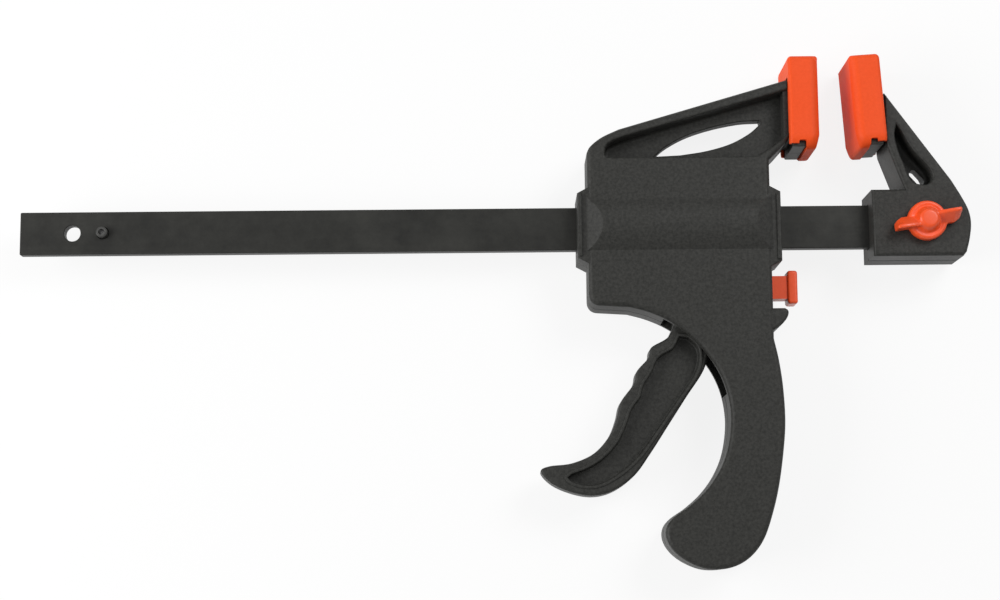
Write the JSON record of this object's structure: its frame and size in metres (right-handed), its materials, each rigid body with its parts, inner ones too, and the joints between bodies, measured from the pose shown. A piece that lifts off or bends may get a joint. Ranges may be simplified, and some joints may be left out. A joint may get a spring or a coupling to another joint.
{
  "type": "one-hand bar clamp",
  "caption": "Quick-action bar clamp: pistol-grip housing with trigger and release button on a flat steel bar, padded jaw arm, and a padded fixed jaw held by a wing knob.",
  "frame": {"origin": "on the resting plane below the bar's axis, at the middle of the housing's rear face", "axes": "+X along the bar towards the fixed jaw, +Y the way both jaws point, +Z out of the front face; the clamp lies on its back"},
  "size_m": [0.3794, 0.2042, 0.0364],
  "materials": {
    "black_plastic": "fine spark-eroded texture, satin edges",
    "orange_plastic": "semi-gloss moulded nylon",
    "orange_pad": "soft matt moulding, non-marring",
    "black_steel": "black oxide over a rolled surface",
    "plain_steel": "plain, lightly oiled",
    "zinc_steel": "bright zinc plate"
  },
  "bodies": {
    "housing": {"front_shell": "black_plastic", "rear_shell": "black_plastic", "moving_jaw_pad": "orange_pad", "trigger_pin": "zinc_steel", "drive_spring": "plain_steel", "brake_spring": "plain_steel", "shell_screw_1": "zinc_steel", "shell_screw_2": "zinc_steel", "shell_screw_3": "zinc_steel", "shell_screw_4": "zinc_steel", "shell_screw_5": "zinc_steel", "shell_screw_6": "zinc_steel"},
    "bar": {"bar": "black_steel", "stop_pin": "zinc_steel", "fixed_jaw": "black_plastic", "fixed_jaw_pad": "orange_pad", "clamp_nut": "zinc_steel"},
    "trigger": {"trigger": "black_plastic"},
    "drive_plate": {"drive_plate": "plain_steel"},
    "brake_plate": {"brake_plate": "plain_steel"},
    "release_button": {"release_button": "orange_plastic"},
    "clamp_screw": {"clamp_screw": "zinc_steel"},
    "wing_knob": {"wing_knob": "orange_plastic"}
  },
  "joints": [
    {"name": "bar_slide", "type": "slide", "parent": "housing", "child": "bar", "axis": [1, 0, 0], "range_m": [-0.0123, 0.1875]},
    {"name": "trigger_pull", "type": "hinge", "parent": "housing", "child": "trigger", "pos_m": [0.004, -0.023, 0.0155], "axis": [0, 0, 1], "range_deg": [0, 19], "stiffness_Nm_per_rad": 0.6, "springref_deg": -20.05},
    {"name": "drive_plate_slide", "type": "slide", "parent": "housing", "child": "drive_plate", "axis": [-1, 0, 0], "range_m": [0, 0.0038], "deforming": ["drive_spring"]},
    {"name": "brake_plate_tilt", "type": "hinge", "parent": "housing", "child": "brake_plate", "pos_m": [0.0215, 0.014, 0.0155], "axis": [0, 0, -1], "range_deg": [0, 6.67], "stiffness_Nm_per_rad": 1.2, "springref_deg": -2.86, "deforming": ["brake_spring"]},
    {"name": "release_button_press", "type": "slide", "parent": "housing", "child": "release_button", "axis": [-1, 0, 0], "range_m": [0, 0.0045]},
    {"name": "clamp_screw_slide", "type": "slide", "parent": "bar", "child": "clamp_screw", "axis": [0, 0, 1], "range_m": [0, 0.004]},
    {"name": "wing_knob_turn", "type": "hinge", "parent": "clamp_screw", "child": "wing_knob", "pos_m": [0.0976, 0, 0.0155], "axis": [0, 0, 1], "range_deg": [0, 1440]}
  ],
  "couplings": [
    {"joint": "drive_plate_slide", "follows": "trigger_pull", "m_per_rad": 0.01135},
    {"joint": "brake_plate_tilt", "follows": "release_button_press", "rad_per_m": 25.86},
    {"joint": "wing_knob_turn", "follows": "clamp_screw_slide", "rad_per_m": 6283}
  ]
}
